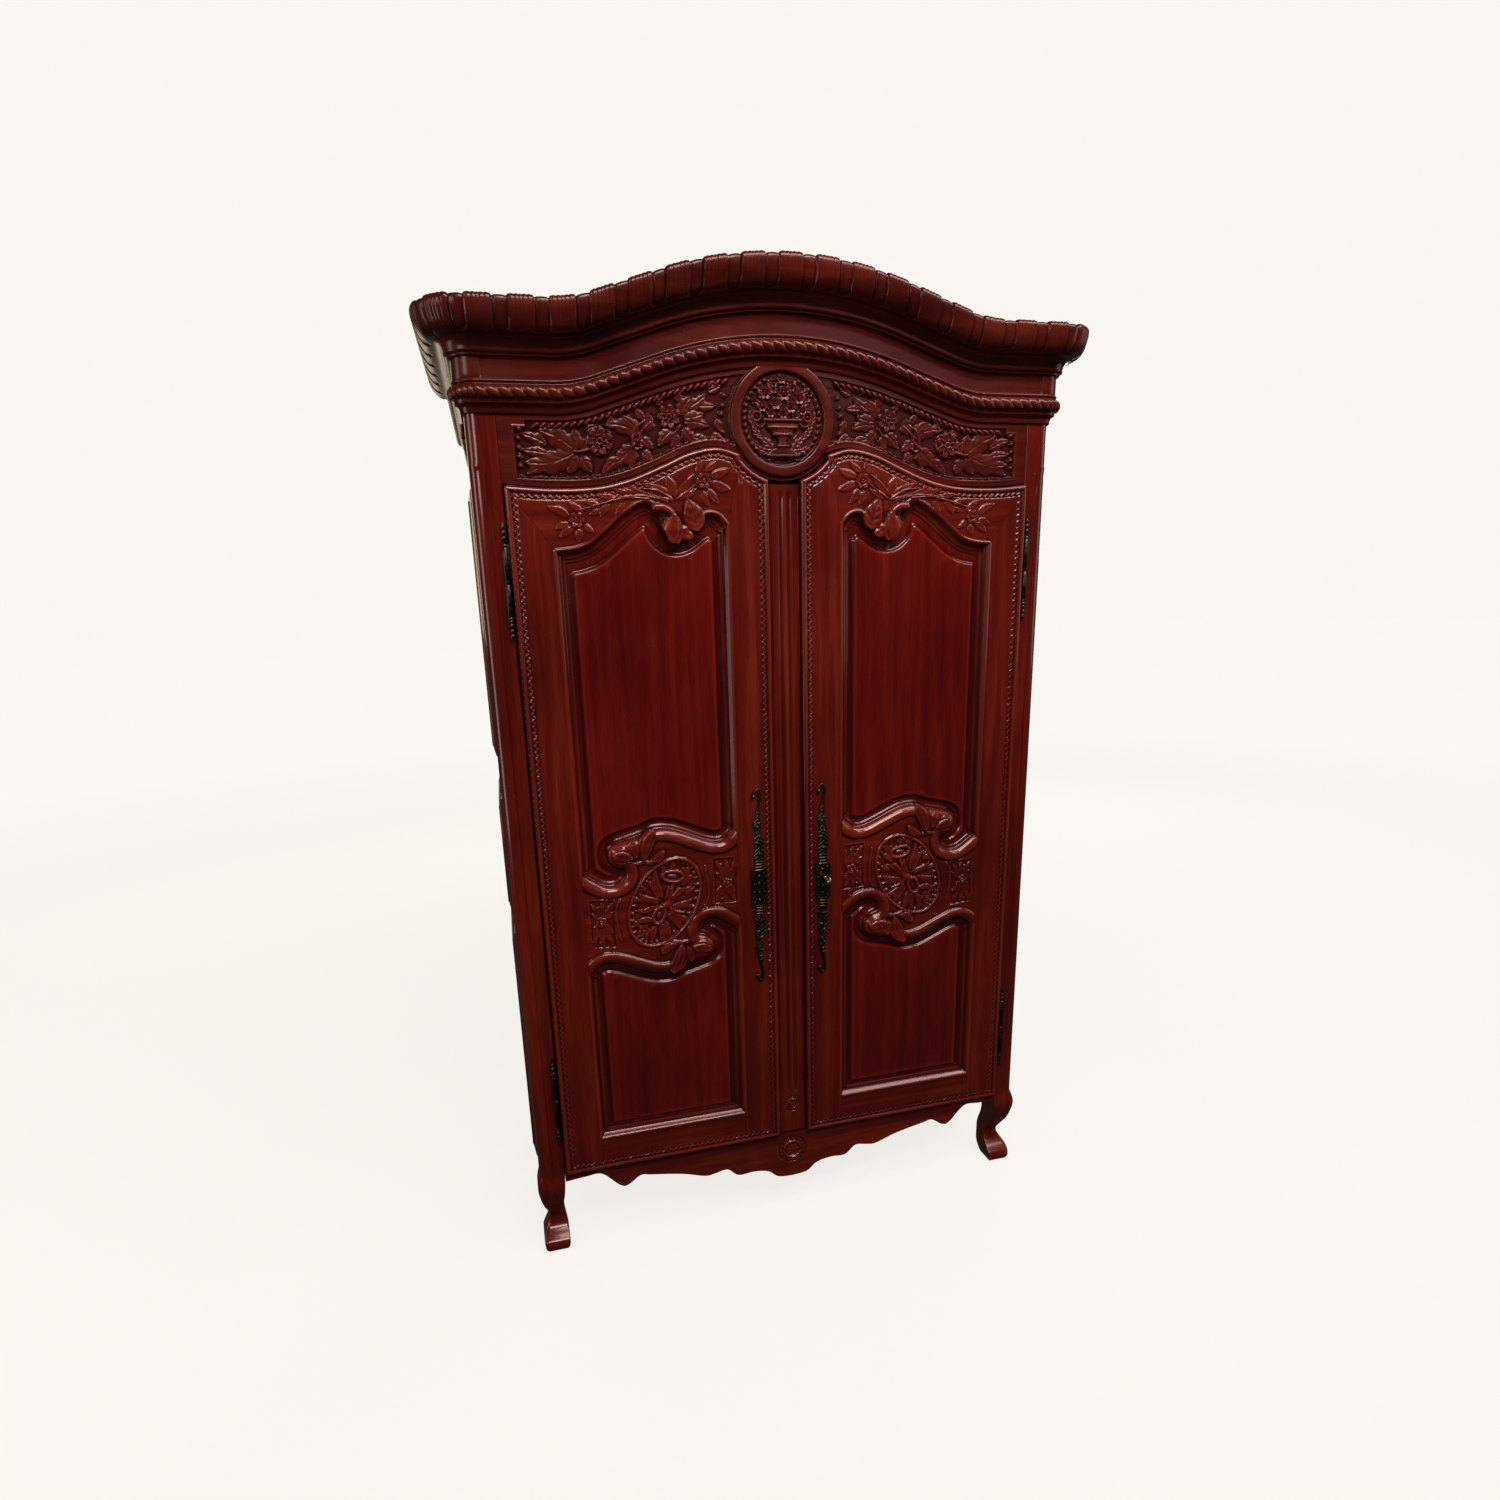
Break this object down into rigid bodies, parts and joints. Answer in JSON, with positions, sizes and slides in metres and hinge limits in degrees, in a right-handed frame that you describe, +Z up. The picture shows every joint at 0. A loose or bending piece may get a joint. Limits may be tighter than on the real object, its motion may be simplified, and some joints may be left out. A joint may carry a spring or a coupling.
{
  "type": "armoire",
  "caption": "Free-standing French-country wardrobe with arched cornice, hinged framed doors, hat shelf, hanging rod, key lock and cabriole feet.",
  "frame": {"origin": "middle of the overall footprint, on the floor under the feet", "axes": "+Z up, front and doors towards -Y, +X to the right seen from the front"},
  "size_m": [1.476, 0.586, 2.258],
  "materials": {
    "mahogany": "satin red-brown mahogany lacquer",
    "mahogany_panel": "satin deep red mahogany lacquer",
    "inner_wood": "plain waxed inner wood",
    "bronze": "dark patinated bronze",
    "brass": "worn brass",
    "steel": "plain steel"
  },
  "bodies": {
    "case": {"front_left_post": "mahogany", "front_right_post": "mahogany", "rear_left_post": "mahogany", "rear_right_post": "mahogany", "front_apron": "mahogany", "bottom_board": "inner_wood", "back_panel": "inner_wood", "back_bottom_rail": "inner_wood", "frieze_board": "mahogany", "cornice_front": "mahogany", "cornice_left": "mahogany", "cornice_right": "mahogany", "top_board": "inner_wood", "hat_shelf": "inner_wood", "left_shelf_cleat": "inner_wood", "right_shelf_cleat": "inner_wood", "hanging_rod": "steel", "left_bottom_rail": "mahogany", "left_lower_rail": "mahogany", "left_upper_rail": "mahogany", "left_top_rail": "mahogany", "left_lower_panel": "mahogany_panel", "left_middle_panel": "mahogany_panel", "left_upper_panel": "mahogany_panel", "left_upper_hinge_frame_half": "bronze", "left_lower_hinge_frame_half": "bronze", "right_bottom_rail": "mahogany", "right_lower_rail": "mahogany", "right_upper_rail": "mahogany", "right_top_rail": "mahogany", "right_lower_panel": "mahogany_panel", "right_middle_panel": "mahogany_panel", "right_upper_panel": "mahogany_panel", "right_upper_hinge_frame_half": "bronze", "right_lower_hinge_frame_half": "bronze"},
    "left_door": {"left_door_hinge_stile": "mahogany", "left_door_lock_stile": "mahogany", "left_door_top_rail": "mahogany", "left_door_mid_rail": "mahogany", "left_door_bottom_rail": "mahogany", "left_door_upper_panel": "mahogany_panel", "left_door_lower_panel": "mahogany_panel", "left_upper_hinge_door_half": "bronze", "left_lower_hinge_door_half": "bronze", "left_escutcheon": "bronze", "centre_stile": "mahogany"},
    "right_door": {"right_door_hinge_stile": "mahogany", "right_door_lock_stile": "mahogany", "right_door_top_rail": "mahogany", "right_door_mid_rail": "mahogany", "right_door_bottom_rail": "mahogany", "right_door_upper_panel": "mahogany_panel", "right_door_lower_panel": "mahogany_panel", "right_upper_hinge_door_half": "bronze", "right_lower_hinge_door_half": "bronze", "right_escutcheon": "bronze", "lock_case": "steel"},
    "key": {"key": "brass"},
    "lock_bolt": {"lock_bolt": "brass"},
    "left_door_bolt": {"left_door_bolt": "steel"}
  },
  "joints": [
    {"name": "left_door_hinge", "type": "hinge", "parent": "case", "child": "left_door", "pos_m": [-0.602, -0.222, 1.042], "axis": [0, 0, -1], "range_deg": [0, 165]},
    {"name": "right_door_hinge", "type": "hinge", "parent": "case", "child": "right_door", "pos_m": [0.602, -0.222, 1.042], "axis": [0, 0, 1], "range_deg": [0, 165]},
    {"name": "key_turn", "type": "hinge", "parent": "right_door", "child": "key", "pos_m": [0.081, -0.228, 0.939], "axis": [0, 1, 0], "range_deg": [0, 180]},
    {"name": "lock_bolt_slide", "type": "slide", "parent": "right_door", "child": "lock_bolt", "axis": [-1, 0, 0], "range_m": [0, 0.014]},
    {"name": "left_door_bolt_slide", "type": "slide", "parent": "left_door", "child": "left_door_bolt", "axis": [0, 0, 1], "range_m": [0, 0.04]}
  ],
  "couplings": [
    {"joint": "lock_bolt_slide", "follows": "key_turn", "m_per_rad": 0.00445}
  ]
}
